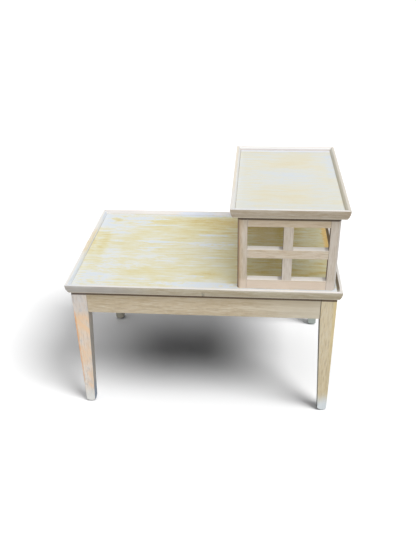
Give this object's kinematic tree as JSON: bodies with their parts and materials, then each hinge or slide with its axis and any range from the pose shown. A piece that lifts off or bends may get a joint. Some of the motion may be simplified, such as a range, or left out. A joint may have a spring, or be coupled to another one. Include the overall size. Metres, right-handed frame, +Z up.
{
  "type": "step end table",
  "caption": "Step end table in limed oak: a low rimmed top on tapered legs, with a smaller raised tray on one end carried on open lattice frames.",
  "frame": {"origin": "on the floor under the middle of the low table", "axes": "+Z up, +X to the right towards the end with the tray, -Y towards the viewer in front"},
  "size_m": [0.711, 0.47, 0.619],
  "materials": {
    "limed_top": "limed oak top, yellow and white streaks, satin, worn",
    "limed_rim": "limed oak moulding, satin, rubbed pale on its top edge",
    "limed_frame": "limed oak, satin, worn to warm wood on the legs",
    "limed_lattice": "limed oak, satin",
    "raw_wood": "unfinished hardwood",
    "screw_steel": "plain steel, dulled"
  },
  "bodies": {
    "root": {"lower_top_board": "limed_top", "lower_rim_front": "limed_rim", "lower_rim_back": "limed_rim", "lower_rim_left": "limed_rim", "lower_rim_right": "limed_rim", "apron_front": "limed_frame", "apron_back": "limed_frame", "apron_left": "limed_frame", "apron_right": "limed_frame", "leg_front_left": "limed_frame", "leg_front_right": "limed_frame", "leg_back_left": "limed_frame", "leg_back_right": "limed_frame", "corner_block_front_left": "raw_wood", "corner_block_front_right": "raw_wood", "corner_block_back_left": "raw_wood", "corner_block_back_right": "raw_wood", "leg_screw_front_left": "screw_steel", "leg_screw_front_right": "screw_steel", "leg_screw_back_left": "screw_steel", "leg_screw_back_right": "screw_steel", "top_screw_front_left_1": "screw_steel", "top_screw_front_left_2": "screw_steel", "top_screw_front_right_1": "screw_steel", "top_screw_front_right_2": "screw_steel", "top_screw_back_left_1": "screw_steel", "top_screw_back_left_2": "screw_steel", "top_screw_back_right_1": "screw_steel", "top_screw_back_right_2": "screw_steel", "upper_top_board": "limed_top", "upper_rim_front": "limed_rim", "upper_rim_back": "limed_rim", "upper_rim_left": "limed_rim", "upper_rim_right": "limed_rim", "front_lattice_stile_left": "limed_lattice", "front_lattice_stile_right": "limed_lattice", "front_lattice_top_rail": "limed_lattice", "front_lattice_bottom_rail": "limed_lattice", "front_lattice_cross_rail": "limed_lattice", "front_lattice_muntin": "limed_lattice", "back_lattice_stile_left": "limed_lattice", "back_lattice_stile_right": "limed_lattice", "back_lattice_top_rail": "limed_lattice", "back_lattice_bottom_rail": "limed_lattice", "back_lattice_cross_rail": "limed_lattice", "back_lattice_muntin": "limed_lattice", "base_dowel_front_left": "raw_wood", "base_dowel_front_right": "raw_wood", "base_dowel_back_left": "raw_wood", "base_dowel_back_right": "raw_wood", "tray_dowel_front_left": "raw_wood", "tray_dowel_front_right": "raw_wood", "tray_dowel_back_left": "raw_wood", "tray_dowel_back_right": "raw_wood"}
  },
  "joints": []
}
